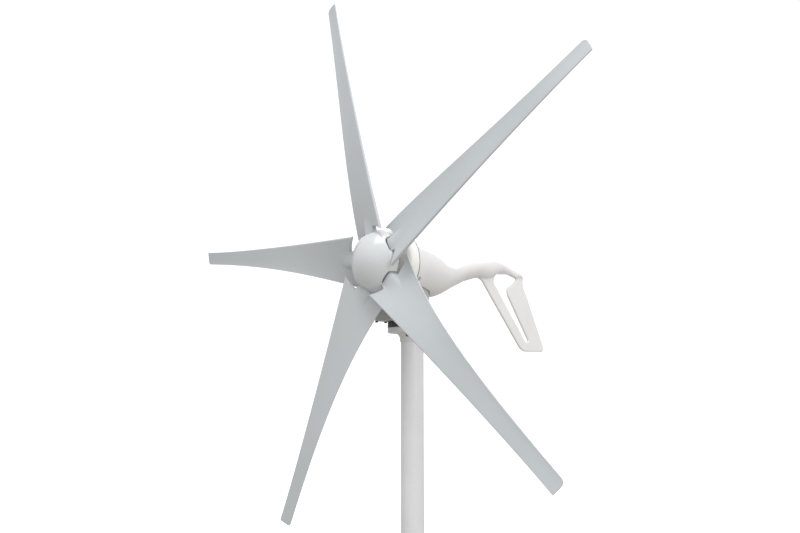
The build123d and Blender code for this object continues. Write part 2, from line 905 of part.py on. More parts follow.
def side_outline(corners):
    points = [(y, height) for y, height, radius in corners]
    radii = [radius for y, height, radius in corners]
    FilletPolyline(*points, radius=radii, close=True)


with BuildPart() as tail_shroud:
    add(tail_loft(tail_stations, 0))
    with BuildSketch(side_view):
        with BuildLine():
            side_outline(fin_outline)
        make_face()
    extrude(amount=fin_half_thickness, both=True)
    with BuildSketch(side_view):
        with BuildLine():
            side_outline(fin_opening)
        make_face()
    extrude(amount=cut_depth, both=True, mode=Mode.SUBTRACT)
    add(tail_loft(tail_stations[:hollow_stations], shroud_wall), mode=Mode.SUBTRACT)
    # Mouth for the yaw housing
    with BuildSketch(Plane.XY.offset(mouth_bottom)):
        yaw_plan(cover_gap)
    extrude(amount=mouth_height, mode=Mode.SUBTRACT)
    for angle in tail_screw_angles:
        with BuildSketch(spoke_plane(angle, housing_radius, tail_screw_y)):
            Circle(tail_screw_radius + loose_gap)
        extrude(amount=2 * tail_screw_length, mode=Mode.SUBTRACT)
        with BuildSketch(spoke_plane(angle, tail_screw_seat, tail_screw_y)):
            Circle(tail_screw_head + loose_gap)
        extrude(amount=tail_screw_length, mode=Mode.SUBTRACT)
write("tail_shroud", tail_shroud)

with BuildPart() as tail_screws:
    for angle in tail_screw_angles:
        with BuildSketch(spoke_plane(angle, tail_screw_seat, tail_screw_y)):
            Circle(tail_screw_head)
        extrude(amount=tail_screw_head_height)
        with BuildSketch(spoke_plane(angle, tail_screw_seat + 1, tail_screw_y)):
            RegularPolygon(yaw_screw_socket, 6)
        extrude(amount=tail_screw_head_height, mode=Mode.SUBTRACT)
        with BuildSketch(spoke_plane(angle, tail_screw_seat - tail_screw_length, tail_screw_y)):
            Circle(tail_screw_radius)
        extrude(amount=tail_screw_length)
write("tail_screws", tail_screws)

# ---- Yaw shaft and its fittings ----
foot_radius = 36
foot_top = flange_joint + 4
yaw_shoulder_radius = 17
yaw_groove_depth = 0.8
cable_bore = 8
slip_seat_radius = 9
slip_bore = 6
slip_insulator_radius = 11
slip_bottom = hub_height - 40
slip_top = hub_height - 6
yaw_clip_z = upper_bearing_z + yaw_bearing_width
yaw_shaft = about_mast(
    [
        (cable_bore, flange_joint),
        (foot_radius, flange_joint),
        (foot_radius, foot_top),
        (yaw_shoulder_radius, foot_top),
        (yaw_shoulder_radius, lower_bearing_z),
        (yaw_bore, lower_bearing_z),
        (yaw_bore, yaw_clip_z),
        (yaw_bore - yaw_groove_depth, yaw_clip_z),
        (yaw_bore - yaw_groove_depth, yaw_clip_z + circlip_thickness),
        (yaw_bore, yaw_clip_z + circlip_thickness),
        (yaw_bore, shaft_step_z),
        (slip_seat_radius, shaft_step_z),
        (slip_seat_radius, shaft_top_z),
        (slip_bore, shaft_top_z),
        (slip_bore, shaft_step_z - 4),
        (cable_bore, shaft_step_z - 4),
    ]
)
write("yaw_shaft", yaw_shaft)

yaw_spacer = about_mast(
    band(yaw_bore, yaw_shoulder_radius, lower_bearing_z + yaw_bearing_width, upper_bearing_z)
)
write("yaw_spacer", yaw_spacer)

with BuildPart() as yaw_circlip:
    with BuildSketch(Plane.XY.offset(yaw_clip_z)):
        Circle(yaw_bore + circlip_reach)
        Circle(yaw_bore - yaw_groove_depth, mode=Mode.SUBTRACT)
        with Locations((0, yaw_bore)):
            Rectangle(*circlip_opening, mode=Mode.SUBTRACT)
    extrude(amount=circlip_thickness)
write("yaw_circlip", yaw_circlip)

# ---- Slip rings and brushes ----
ring_radius = 13
ring_heights = [hub_height - 33, hub_height - 23, hub_height - 13]
ring_width = 6
slip_ring_insulator = about_mast(band(slip_seat_radius, slip_insulator_radius, slip_bottom, slip_top))
write("slip_ring_insulator", slip_ring_insulator)

with BuildPart() as slip_rings:
    for height in ring_heights:
        with BuildSketch(Plane.XY.offset(height - ring_width / 2)):
            Circle(ring_radius)
            Circle(slip_insulator_radius, mode=Mode.SUBTRACT)
        extrude(amount=ring_width)
write("slip_rings", slip_rings)

brush_size = (5, 4)
brush_back_y = 22
holder_front_y = 18
holder_back_y = 32
holder_slot_end_y = 30
holder_width = 18
brush_gap = 0.1
with BuildPart() as brushes:
    for height in ring_heights:
        with BuildSketch(Plane.XZ.offset(-brush_back_y)):
            with Locations((0, height)):
                Rectangle(*brush_size)
        extrude(amount=brush_back_y)
    with BuildSketch(Plane.XY.offset(block_top)):
        Circle(ring_radius + running_gap)
    extrude(amount=cut_depth, mode=Mode.SUBTRACT)
write("brushes", brushes)

with BuildPart() as brush_holder:
    with BuildSketch(Plane.XZ.offset(-holder_back_y)):
        with Locations((0, (block_top + slip_top) / 2)):
            Rectangle(holder_width, slip_top - block_top)
    extrude(amount=holder_back_y - holder_front_y)
    with BuildSketch(Plane.XZ.offset(-holder_slot_end_y)):
        with Locations(*[(0, height) for height in ring_heights]):
            Rectangle(brush_size[0] + 2 * brush_gap, brush_size[1] + 2 * brush_gap)
    extrude(amount=holder_back_y - holder_front_y, mode=Mode.SUBTRACT)
write("brush_holder", brush_holder)

spring_radius = 1.4
spring_wire = 0.25
spring_turns = 6
spring_length = holder_slot_end_y - brush_back_y - 2 * spring_wire
with BuildPart() as brush_springs:
    for height in ring_heights:
        start_y = brush_back_y + spring_wire
        with BuildLine() as coil:
            Helix(
                pitch=spring_length / spring_turns,
                height=spring_length,
                radius=spring_radius,
                center=(0, start_y, height),
                direction=(0, 1, 0),
            )
        with BuildSketch(Plane(origin=coil.line @ 0, z_dir=coil.line % 0)):
            Circle(spring_wire)
        sweep(path=coil.line)
write("brush_springs", brush_springs)

lead_front_y = core_front_y + core_length + coil_build + 0.5
lead_turn_y = 15
lead_back_y = 48
lead_drop = 32
lead_bend = 8
with BuildPart() as phase_leads:
    for (lead_x, lead_z), height in zip(lead_places, reversed(ring_heights)):
        with BuildLine() as lead_path:
            FilletPolyline(
                (lead_x, lead_front_y, hub_height + lead_z),
                (lead_x, lead_turn_y, hub_height + lead_z),
                (lead_x, lead_back_y, hub_height + lead_z - lead_drop),
                (lead_x, lead_back_y, height),
                (lead_x, holder_back_y, height),
                radius=lead_bend,
            )
        with BuildSketch(Plane(origin=lead_path.line @ 0, z_dir=lead_path.line % 0)):
            Circle(lead_radius)
        sweep(path=lead_path.line)
write("phase_leads", phase_leads)

# ---- Yaw flange, mast flange and mast ----
rib_count = 48
rib_groove = 1.5
rib_groove_width = 3.2
rim_land = 1.5
flange_bolt_radius = 3
flange_bolt_pitch = 43
flange_bolt_head = 5
flange_bolt_head_height = 5
flange_bolt_socket = 2.8
flange_bolt_socket_depth = 2.5
flange_washer_radius = 5.4
flange_bolt_count = 4
bolt_seat_z = flange_joint + 5
bolt_head_z = bolt_seat_z + washer_thickness
bolt_end_z = mast_flange_bottom + 1


def flange_bolt_places():
    return PolarLocations(flange_bolt_pitch, flange_bolt_count)


with BuildPart() as yaw_flange:
    with BuildSketch(Plane.XY.offset(flange_joint)):
        Circle(yaw_flange_radius)
    extrude(amount=flange_top - flange_joint)
    with BuildSketch(Plane.XY.offset(flange_joint)):
        Circle(yaw_shoulder_radius)
        with flange_bolt_places():
            Circle(flange_bolt_radius + loose_gap)
    extrude(amount=cut_depth, mode=Mode.SUBTRACT)
    with BuildSketch(Plane.XY.offset(flange_joint)):
        Circle(foot_radius)
    extrude(amount=foot_top - flange_joint, mode=Mode.SUBTRACT)
    with BuildSketch(Plane.XY.offset(bolt_seat_z)):
        with flange_bolt_places():
            Circle(flange_washer_radius + loose_gap)
    extrude(amount=cut_depth, mode=Mode.SUBTRACT)
    with BuildSketch(Plane.XY.offset(flange_joint + rim_land)):
        with PolarLocations(yaw_flange_radius + 0.4, rib_count):
            Rectangle(2 * rib_groove, rib_groove_width)
    extrude(amount=flange_top - flange_joint - 2 * rim_land, mode=Mode.SUBTRACT)
write("yaw_flange", yaw_flange)

grub_radius = 3
grub_length = 6.5
grub_socket = 1.7
grub_socket_depth = 3
grub_height = mast_flange_bottom - 5
grub_angles = [-67 + 120 * index for index in range(3)]


def mast_spoke(angle, radius, height):
    """Plane across a spoke of the mast axis that faces outwards."""
    out = (math.cos(math.radians(angle)), math.sin(math.radians(angle)), 0)
    return Plane(origin=(radius * out[0], radius * out[1], height), x_dir=(0, 0, 1), z_dir=out)


flange_chamfer = 1.5
collar_radius = 26.6
collar_top_radius = 36
collar_bend = (29, mast_flange_bottom - 5)
with BuildPart() as mast_flange:
    with BuildSketch(Plane.XZ):
        with BuildLine():
            Polyline(
                (cable_bore, mast_top),
                (cable_bore, flange_joint),
                (yaw_flange_radius, flange_joint),
                (yaw_flange_radius, mast_flange_bottom + flange_chamfer),
                (yaw_flange_radius - flange_chamfer, mast_flange_bottom),
                (collar_top_radius, mast_flange_bottom),
            )
            ThreePointArc(
                (collar_top_radius, mast_flange_bottom),
                collar_bend,
                (collar_radius, collar_bottom),
            )
            Polyline(
                (collar_radius, collar_bottom),
                (spigot_radius, collar_bottom),
                (spigot_radius, mast_top),
                (cable_bore, mast_top),
            )
        make_face()
    revolve(axis=Axis.Z)
    with BuildSketch(Plane.XY.offset(bolt_end_z)):
        with flange_bolt_places():
            Circle(flange_bolt_radius)
    extrude(amount=cut_depth, mode=Mode.SUBTRACT)
    for angle in grub_angles:
        with BuildSketch(mast_spoke(angle, spigot_radius, grub_height)):
            Circle(grub_radius)
        extrude(amount=collar_top_radius, mode=Mode.SUBTRACT)
write("mast_flange", mast_flange)

with BuildPart() as flange_washers:
    with BuildSketch(Plane.XY.offset(bolt_seat_z)):
        with flange_bolt_places():
            Circle(flange_washer_radius)
            Circle(flange_bolt_radius + loose_gap, mode=Mode.SUBTRACT)
    extrude(amount=washer_thickness)
write("flange_washers", flange_washers)

with BuildPart() as flange_bolts:
    with BuildSketch(Plane.XY.offset(bolt_end_z)):
        with flange_bolt_places():
            Circle(flange_bolt_radius)
    extrude(amount=bolt_head_z - bolt_end_z)
    with BuildSketch(Plane.XY.offset(bolt_head_z)):
        with flange_bolt_places():
            Circle(flange_bolt_head)
    extrude(amount=flange_bolt_head_height)
    with BuildSketch(Plane.XY.offset(bolt_head_z + flange_bolt_head_height - flange_bolt_socket_depth)):
        with flange_bolt_places():
            RegularPolygon(flange_bolt_socket, 6)
    extrude(amount=flange_bolt_head_height, mode=Mode.SUBTRACT)
write("flange_bolts", flange_bolts)

with BuildPart() as collar_screws:
    for angle in grub_angles:
        with BuildSketch(mast_spoke(angle, spigot_radius, grub_height)):
            Circle(grub_radius)
        extrude(amount=grub_length)
        with BuildSketch(mast_spoke(angle, spigot_radius + grub_length - grub_socket_depth, grub_height)):
            RegularPolygon(grub_socket, 6)
        extrude(amount=grub_length, mode=Mode.SUBTRACT)
write("collar_screws", collar_screws)

# The mast's top is turned down to a spigot, so that the collar rests on its shoulder
mast_bore_radius = mast_outer_radius - mast_wall
mast_tube = about_mast(
    [
        (mast_bore_radius, 0),
        (mast_outer_radius, 0),
        (mast_outer_radius, collar_bottom),
        (spigot_radius, collar_bottom),
        (spigot_radius, mast_top),
        (mast_bore_radius, mast_top),
    ]
)
write("mast_tube", mast_tube)
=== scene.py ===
import json
import math

import bmesh
import bpy
import numpy as np
from mathutils import Matrix, Vector


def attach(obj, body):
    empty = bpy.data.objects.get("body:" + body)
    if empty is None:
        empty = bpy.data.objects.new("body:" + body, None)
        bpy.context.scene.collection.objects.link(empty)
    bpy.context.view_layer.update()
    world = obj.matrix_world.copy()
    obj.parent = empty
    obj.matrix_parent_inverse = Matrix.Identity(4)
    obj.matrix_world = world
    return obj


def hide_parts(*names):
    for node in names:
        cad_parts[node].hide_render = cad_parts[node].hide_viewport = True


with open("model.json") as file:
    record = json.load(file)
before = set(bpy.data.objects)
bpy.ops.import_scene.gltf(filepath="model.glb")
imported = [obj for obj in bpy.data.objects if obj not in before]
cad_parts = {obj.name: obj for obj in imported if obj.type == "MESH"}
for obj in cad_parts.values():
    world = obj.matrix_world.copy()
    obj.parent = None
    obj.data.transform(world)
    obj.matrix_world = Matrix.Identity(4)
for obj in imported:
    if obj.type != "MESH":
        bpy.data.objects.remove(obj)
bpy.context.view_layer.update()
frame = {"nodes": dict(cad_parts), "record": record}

scene = bpy.context.scene
nodes = frame["nodes"]
slot_of = {part["node"]: part["material_slot"] for part in frame["record"]["subparts"]}
node_body = {
    member: body
    for body, members in frame["record"]["behaviour"]["bodies"].items()
    for member in members
}

# ---- Measures shared with the frame, in metres ----
HUB_HEIGHT = 0.650
TIP_Y = -0.135
ROTOR_RADIUS = 0.600
BLADE_COUNT = 5
FIRST_BLADE_ANGLE = 29.4
MERGE_DISTANCE = 1e-6
CORNER_DEGREES = 50

# Blade: the radii where it begins, its section, and its tip
BLADE_ROOT = 0.050
ROOT_ARC = 0.072
NECK_START = 0.0558
NOSE_ROUNDNESS = 0.4
CAMBER = 0.035
TIP_HALF_WIDTH = 0.015
TIP_CORNERS = ((1, 0.009), (-1, 0.003))

# The neck's body above the chord line: height and lean of its face, and half its width
NECK_STATIONS = np.array([0.050, 0.056, 0.064, 0.072, 0.084, 0.100])
NECK_HEIGHT = np.array([0.0116, 0.0113, 0.0095, 0.0075, 0.0052, 0.0028])
NECK_LEAN = np.array([0.30, 0.30, 0.24, 0.17, 0.09, 0.0])
NECK_WIDTH = np.array([0.0176, 0.0176, 0.0176, 0.0176, 0.0165, 0.0120])
NECK_BLEND = 0.0012
NECK_END = 0.108
NECK_FADE = 0.02
FILLET_START = 0.0160
FILLET_WIDTH = 0.0036

# Lug: the plate that the hub clamps, with its bolt holes
LUG_Y = 0.024
LUG_INNER = 0.0255
LUG_OUTER = 0.0565
LUG_HALF_WIDTH = 0.0165
LUG_HALF_THICKNESS = 0.005
LUG_EDGE = 0.0005
LUG_CORNER = 0.003
BOLT_HOLE_RADIUS = 0.0033
BOLT_HOLES = ((0.029, 0.0), (0.040, 0.010), (0.040, -0.010))

# Seam between the front cover and the tail shroud, and the dark ring in it that paints the seam's shadow
# gap
SEAM_OUTER = 0.0700
SEAM_INNER = 0.0615
SEAM_FRONT = 0.0843
SEAM_BACK = 0.0859
SEAM_LIP = 0.0003

# Camera
CAMERA_AZIMUTH = 44.549
CAMERA_ELEVATION = -8.378
CAMERA_PLACE = (1.11465, -1.16912, 0.41320)
CAMERA_LENS = 34.136
CAMERA_SENSOR = 36


# ---- Node helpers ----
def new_material(name):
    material = bpy.data.materials.new(name)
    material.use_nodes = True
    tree = material.node_tree
    return material, tree, tree.nodes["Principled BSDF"]


def add(tree, kind, **settings):
    node = tree.nodes.new(kind)
    for key, value in settings.items():
        if key.startswith("in_"):
            node.inputs[key[3:].replace("_", " ")].default_value = value
        else:
            setattr(node, key, value)
    return node


def object_coords(tree, scale=(1, 1, 1)):
    coords = add(tree, "ShaderNodeTexCoord")
    mapping = add(tree, "ShaderNodeMapping")
    mapping.inputs["Scale"].default_value = scale
    tree.links.new(coords.outputs["Object"], mapping.inputs["Vector"])
    return mapping.outputs["Vector"]


def noise(tree, vector, scale, detail=3.0, roughness=0.5):
    node = add(tree, "ShaderNodeTexNoise", in_Scale=scale, in_Detail=detail, in_Roughness=roughness)
    tree.links.new(vector, node.inputs["Vector"])
    return node.outputs["Fac"]


def ramp(tree, value, stops):
    node = add(tree, "ShaderNodeValToRGB")
    while len(node.color_ramp.elements) < len(stops):
        node.color_ramp.elements.new(0.5)
    for element, (place, colour) in zip(node.color_ramp.elements, stops):
        element.position = place
        element.color = (*colour, 1)
    tree.links.new(value, node.inputs["Fac"])
    return node.outputs["Color"]


def spread(tree, value, low, high, start=0.3, end=0.7):
    node = add(tree, "ShaderNodeMapRange")
    for key, number in (("From Min", start), ("From Max", end), ("To Min", low), ("To Max", high)):
        node.inputs[key].default_value = number
    tree.links.new(value, node.inputs["Value"])
    return node.outputs["Result"]


def blend(tree, factor, first, second, mode="MIX"):
    node = add(tree, "ShaderNodeMix", data_type="RGBA", blend_type=mode)
    for key, source in ((0, factor), (6, first), (7, second)):
        if isinstance(source, (tuple, float, int)):
            value = (*source, 1) if isinstance(source, tuple) else source
            node.inputs[key].default_value = value
        else:
            tree.links.new(source, node.inputs[key])
    return node.outputs[2]


def bump(tree, height, strength, distance, below=None):
    node = add(tree, "ShaderNodeBump", in_Strength=strength, in_Distance=distance)
    tree.links.new(height, node.inputs["Height"])
    if below is not None:
        tree.links.new(below, node.inputs["Normal"])
    return node.outputs["Normal"]


def tint(colour, factor):
    return tuple(min(1.0, part * factor) for part in colour)


# ---- Materials ----
def moulded_plastic(name, colour, rough, coat=0.0, grime=(0.55, 0.54, 0.50), grime_share=0.10):
    """Gloss moulding: cloudy pigment, faint flow lines, orange peel, and dust in streaks."""
    material, tree, shader = new_material(name)
    space = object_coords(tree)
    cloud = noise(tree, space, 9, 4)
    base = ramp(tree, cloud, [(0.3, tint(colour, 0.965)), (0.7, tint(colour, 1.025))])
    streaks = noise(tree, object_coords(tree, (38, 38, 5)), 2.2, 6, 0.62)
    dust = spread(tree, streaks, 0.0, grime_share, 0.52, 0.86)
    shaded = blend(tree, dust, base, grime)
    tree.links.new(shaded, shader.inputs["Base Color"])
    smudge = noise(tree, space, 26, 5, 0.6)
    tree.links.new(spread(tree, smudge, rough - 0.05, rough + 0.09), shader.inputs["Roughness"])
    peel = noise(tree, space, 420, 2)
    flow = noise(tree, object_coords(tree, (14, 14, 90)), 1.5, 2)
    flowing = bump(tree, flow, 0.03, 0.0008)
    tree.links.new(bump(tree, peel, 0.05, 0.0004, flowing), shader.inputs["Normal"])
    shader.inputs["Coat Weight"].default_value = coat
    shader.inputs["Coat Roughness"].default_value = 0.08
    shader.inputs["IOR"].default_value = 1.5
    return material


def blade_moulding(name, colour):
    """Satin glass-filled nylon: fibre flecks, mould grain, ripple and light scuffs."""
    material, tree, shader = new_material(name)
    space = object_coords(tree)
    cloud = noise(tree, space, 6, 4)
    base = ramp(tree, cloud, [(0.28, tint(colour, 0.955)), (0.72, tint(colour, 1.03))])
    fibre = noise(tree, object_coords(tree, (210, 210, 210)), 5.5, 3, 0.7)
    flecked = blend(tree, spread(tree, fibre, 0.0, 0.10, 0.55, 0.75), base, tint(colour, 1.22))
    scuffs = noise(tree, space, 75, 8, 0.72)
    worn = blend(tree, spread(tree, scuffs, 0.0, 0.20, 0.60, 0.80), flecked, tint(colour, 0.80))
    tree.links.new(worn, shader.inputs["Base Color"])
    tree.links.new(spread(tree, scuffs, 0.34, 0.50), shader.inputs["Roughness"])
    grain = noise(tree, space, 900, 2)
    ripple = noise(tree, space, 35, 2)
    rippled = bump(tree, ripple, 0.05, 0.001)
    tree.links.new(bump(tree, grain, 0.06, 0.0003, rippled), shader.inputs["Normal"])
    shader.inputs["IOR"].default_value = 1.48
    return material


def powder_coat(name, colour, rough, chips=(0.35, 0.35, 0.35), peel_size=300, metallic=0.0):
    """Powder coat on metal: orange peel, cloudy tone, and a few chips worn on the edges."""
    material, tree, shader = new_material(name)
    space = object_coords(tree)
    cloud = noise(tree, space, 12, 5)
    base = ramp(tree, cloud, [(0.3, tint(colour, 0.95)), (0.7, tint(colour, 1.03))])
    geometry = add(tree, "ShaderNodeNewGeometry")
    edge = spread(tree, geometry.outputs["Pointiness"], 0.0, 1.0, 0.58, 0.68)
    patches = spread(tree, noise(tree, space, 130, 6, 0.7), 0.0, 1.0, 0.50, 0.62)
    worn = add(tree, "ShaderNodeMath", operation="MULTIPLY")
    tree.links.new(edge, worn.inputs[0])
    tree.links.new(patches, worn.inputs[1])
    tree.links.new(blend(tree, worn.outputs[0], base, chips), shader.inputs["Base Color"])
    polish = noise(tree, space, 40, 4)
    tree.links.new(spread(tree, polish, rough - 0.06, rough + 0.10), shader.inputs["Roughness"])
    peel = noise(tree, space, peel_size, 3)
    tree.links.new(bump(tree, peel, 0.14, 0.0006), shader.inputs["Normal"])
    shader.inputs["Metallic"].default_value = metallic
    return material


def cast_paint(name, colour, rough):
    """Painted die casting: sandy skin with painted shade in its hollows, bare metal rubbed on the
    corners.
    """
    material, tree, shader = new_material(name)
    space = object_coords(tree)
    skin = noise(tree, space, 160, 6, 0.65)
    # skin tone follows the bump: its hollows get painted shade
    base = ramp(tree, skin, [(0.30, tint(colour, 0.86)), (0.70, tint(colour, 1.08))])
    geometry = add(tree, "ShaderNodeNewGeometry")
    edge = spread(tree, geometry.outputs["Pointiness"], 0.0, 0.55, 0.53, 0.63)
    tree.links.new(blend(tree, edge, base, (0.55, 0.55, 0.54)), shader.inputs["Base Color"])
    tree.links.new(spread(tree, skin, rough - 0.08, rough + 0.12), shader.inputs["Roughness"])
    tree.links.new(bump(tree, skin, 0.28, 0.0008), shader.inputs["Normal"])
    return material


def machined_metal(name, colour, rough, lines=(4, 4, 600), rust=None):
    """Bare or plated metal with tool marks, uneven polish and a little staining."""
    material, tree, shader = new_material(name)
    space = object_coords(tree)
    marks = noise(tree, object_coords(tree, lines), 4, 3, 0.6)
    base = ramp(tree, marks, [(0.3, tint(colour, 0.88)), (0.7, tint(colour, 1.08))])
    stain = spread(tree, noise(tree, space, 90, 6, 0.7), 0.0, 0.35, 0.55, 0.75)
    tree.links.new(blend(tree, stain, base, rust or tint(colour, 0.6)), shader.inputs["Base Color"])
    tree.links.new(spread(tree, marks, rough - 0.07, rough + 0.12), shader.inputs["Roughness"])
    tree.links.new(bump(tree, marks, 0.10, 0.0002), shader.inputs["Normal"])
    shader.inputs["Metallic"].default_value = 1.0
    return material


def stacked_laminations(name, colour):
    """Sheet-steel laminations stacked along the rotor axis, with varnish in the joints."""
    material, tree, shader = new_material(name)
    wave = add(tree, "ShaderNodeTexWave", wave_type="BANDS", bands_direction="Y", in_Scale=330.0)
    wave.inputs["Distortion"].default_value = 0.15
    tree.links.new(object_coords(tree), wave.inputs["Vector"])
    sheets = wave.outputs["Fac"]
    base = ramp(tree, sheets, [(0.1, tint(colour, 0.45)), (0.5, colour), (1.0, tint(colour, 1.3))])
    stain = spread(tree, noise(tree, object_coords(tree), 70, 5, 0.7), 0.0, 0.5, 0.5, 0.75)
    tree.links.new(blend(tree, stain, base, (0.12, 0.07, 0.04)), shader.inputs["Base Color"])
    tree.links.new(spread(tree, sheets, 0.55, 0.32, 0.1, 0.9), shader.inputs["Roughness"])
    tree.links.new(bump(tree, sheets, 0.5, 0.0002), shader.inputs["Normal"])
    shader.inputs["Metallic"].default_value = 0.85
    return material


def wound_wire(name, colour):
    """Enamelled wire wound side by side under a coat of varnish."""
    material, tree, shader = new_material(name)
    wave = add(tree, "ShaderNodeTexWave", wave_type="RINGS", rings_direction="Y", in_Scale=260.0)
    wave.inputs["Distortion"].default_value = 0.6
    tree.links.new(object_coords(tree), wave.inputs["Vector"])
    turns = wave.outputs["Fac"]
    base = ramp(tree, turns, [(0.05, tint(colour, 0.3)), (0.45, colour), (1.0, tint(colour, 1.35))])
    tree.links.new(base, shader.inputs["Base Color"])
    varnish = noise(tree, object_coords(tree), 60, 4)
    tree.links.new(spread(tree, varnish, 0.22, 0.42), shader.inputs["Roughness"])
    tree.links.new(bump(tree, turns, 0.7, 0.0004), shader.inputs["Normal"])
    shader.inputs["Metallic"].default_value = 0.8
    shader.inputs["Coat Weight"].default_value = 0.5
    return material


def rubber(name, colour, rough=0.6):
    """Rubber or soft plastic: fine grain, greyed by dust."""
    material, tree, shader = new_material(name)
    space = object_coords(tree)
    grain = noise(tree, space, 700, 3)
    dust = spread(tree, noise(tree, space, 45, 6, 0.7), 0.0, 0.35, 0.5, 0.75)
    tree.links.new(blend(tree, dust, tint(colour, 1.0), tint(colour, 2.4)), shader.inputs["Base Color"])
    tree.links.new(spread(tree, grain, rough - 0.08, rough + 0.14), shader.inputs["Roughness"])
    tree.links.new(bump(tree, grain, 0.25, 0.0003), shader.inputs["Normal"])
    return material


finishes = {
    "blade_plastic": blade_moulding("blade_plastic", (0.468, 0.490, 0.500)),
    "cone_plastic": moulded_plastic("cone_plastic", (0.560, 0.570, 0.570), rough=0.20, coat=0.35),
    "shroud_plastic": moulded_plastic("shroud_plastic", (0.700, 0.680, 0.672), rough=0.17, coat=0.45),
    "cover_paint": powder_coat("cover_paint", (0.820, 0.800, 0.755), rough=0.24),
    "grey_casting": cast_paint("grey_casting", (0.40, 0.405, 0.385), rough=0.45),
    "black_flange": moulded_plastic(
        "black_flange", (0.050, 0.050, 0.053), rough=0.45, grime=(0.20, 0.19, 0.18), grime_share=0.18
    ),
    "flange_paint": powder_coat("flange_paint", (0.610, 0.610, 0.600), rough=0.36),
    "mast_paint": powder_coat(
        "mast_paint", (0.640, 0.632, 0.635), rough=0.34, chips=(0.60, 0.59, 0.58), peel_size=220
    ),
    "black_screws": machined_metal(
        "black_screws", (0.035, 0.035, 0.037), rough=0.42, rust=(0.10, 0.07, 0.05)
    ),
    "zinc_fasteners": machined_metal("zinc_fasteners", (0.56, 0.57, 0.59), rough=0.34),
    "shaft_steel": machined_metal("shaft_steel", (0.50, 0.51, 0.52), rough=0.26, rust=(0.20, 0.12, 0.07)),
    "spring_steel": machined_metal("spring_steel", (0.22, 0.22, 0.23), rough=0.35),
    "bearing_steel": machined_metal("bearing_steel", (0.66, 0.67, 0.69), rough=0.14),
    "bearing_cage": machined_metal("bearing_cage", (0.60, 0.44, 0.20), rough=0.32),
    "hub_plate": machined_metal("hub_plate", (0.62, 0.63, 0.64), rough=0.30, lines=(120, 4, 120)),
    "core_steel": stacked_laminations("core_steel", (0.20, 0.20, 0.21)),
    "magnet_plate": machined_metal("magnet_plate", (0.58, 0.57, 0.55), rough=0.22),
    "copper_wire": wound_wire("copper_wire", (0.50, 0.20, 0.08)),
    "slip_brass": machined_metal("slip_brass", (0.66, 0.46, 0.18), rough=0.25, lines=(4, 4, 900)),
    "carbon": rubber("carbon", (0.030, 0.030, 0.030), rough=0.5),
    "insulator": rubber("insulator", (0.26, 0.12, 0.05), rough=0.42),
    "seal_rubber": rubber("seal_rubber", (0.022, 0.022, 0.022)),
    "lead_jacket": rubber("lead_jacket", (0.060, 0.060, 0.065), rough=0.4),
}

for name, node in nodes.items():
    for place in node.material_slots:
        place.material = finishes[slot_of[name]]


# ---- Mesh helpers ----
def new_piece(name, mesh, like, replaces=True):
    """Object for a mesh that stands for a CAD node, and takes its body and finish."""
    piece = bpy.data.objects.new(name, mesh)
    scene.collection.objects.link(piece)
    mesh.materials.clear()
    mesh.materials.append(finishes[slot_of[like]])
    for polygon in mesh.polygons:
        polygon.use_smooth = True
    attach(piece, node_body[like])
    if replaces:
        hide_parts(like)
    return piece


def applied(piece):
    """The mesh of an object with its modifiers applied."""
    graph = bpy.context.evaluated_depsgraph_get()
    mesh = bpy.data.meshes.new_from_object(piece.evaluated_get(graph))
    bpy.data.objects.remove(piece)
    return mesh


def softened(node_name, voxel, rounds, factor=0.5):
    """Copy of a CAD node with moulded edges: remeshed finely, then its corners eased."""
    mesh = nodes[node_name].data.copy()
    work = bmesh.new()
    work.from_mesh(mesh)
    bmesh.ops.remove_doubles(work, verts=work.verts, dist=MERGE_DISTANCE)
    work.to_mesh(mesh)
    work.free()
    piece = bpy.data.objects.new("soften", mesh)
    scene.collection.objects.link(piece)
    remesh = piece.modifiers.new("remesh", "REMESH")
    remesh.mode = "VOXEL"
    remesh.voxel_size = voxel
    smooth = piece.modifiers.new("smooth", "SMOOTH")
    smooth.factor = factor
    smooth.iterations = rounds
    return new_piece(node_name + "_moulded", applied(piece), node_name)


# ---- Blades ----
def along_span(radius, at_tip, at_root, power):
    share = (ROTOR_RADIUS - radius) / (ROTOR_RADIUS - BLADE_ROOT)
    return at_tip + (at_root - at_tip) * np.clip(share, 0, None) ** power


def leading_edge(radius):
    """Downwind and sideways place of the leading edge."""
    downwind = along_span(radius, at_tip=-0.003, at_root=0.004, power=1)
    return downwind, -along_span(radius, at_tip=TIP_HALF_WIDTH, at_root=0.050, power=1.5)


def trailing_edge(radius):
    """Downwind and sideways place of the trailing edge."""
    downwind = along_span(radius, at_tip=0.002, at_root=0.044, power=3.8)
    return downwind, along_span(radius, at_tip=TIP_HALF_WIDTH, at_root=0.0555, power=2.4)


def thickness_share(share, nose_share):
    """Half thickness over thickness at a share of the chord, round at the nose."""
    before_nose = 1 - np.minimum(share, nose_share) / nose_share
    nose = NOSE_ROUNDNESS * np.sqrt(np.clip(1 - before_nose**2, 0, 1))
    behind = np.clip((share - nose_share) / (1 - nose_share), 0, 1)
    swell = 0.713 * behind * (1 - behind) ** 1.8
    thinning = 0.24 * behind**2.2
    return np.where(share < nose_share, nose, NOSE_ROUNDNESS + swell - thinning)


def neck_rise(radius, away, half, side):
    """How far the neck stands above the blade's own surface."""
    height = np.interp(radius, NECK_STATIONS, NECK_HEIGHT)
    lean = np.interp(radius, NECK_STATIONS, NECK_LEAN) if side < 0 else 0.0
    width = np.interp(radius, NECK_STATIONS, NECK_WIDTH)
    face = (height + lean * away) * np.clip(1 - (away / width) ** 4, 0, 1) ** 0.5
    over = face - half
    soft = 0.5 * (over + np.sqrt(over**2 + NECK_BLEND**2))
    fade_across = np.clip(1 - (away / (width * 1.15)) ** 2, 0, 1)
    fade_outwards = np.clip((NECK_END - radius) / NECK_FADE, 0, 1)
    return soft * np.sqrt(fade_across * fade_outwards)


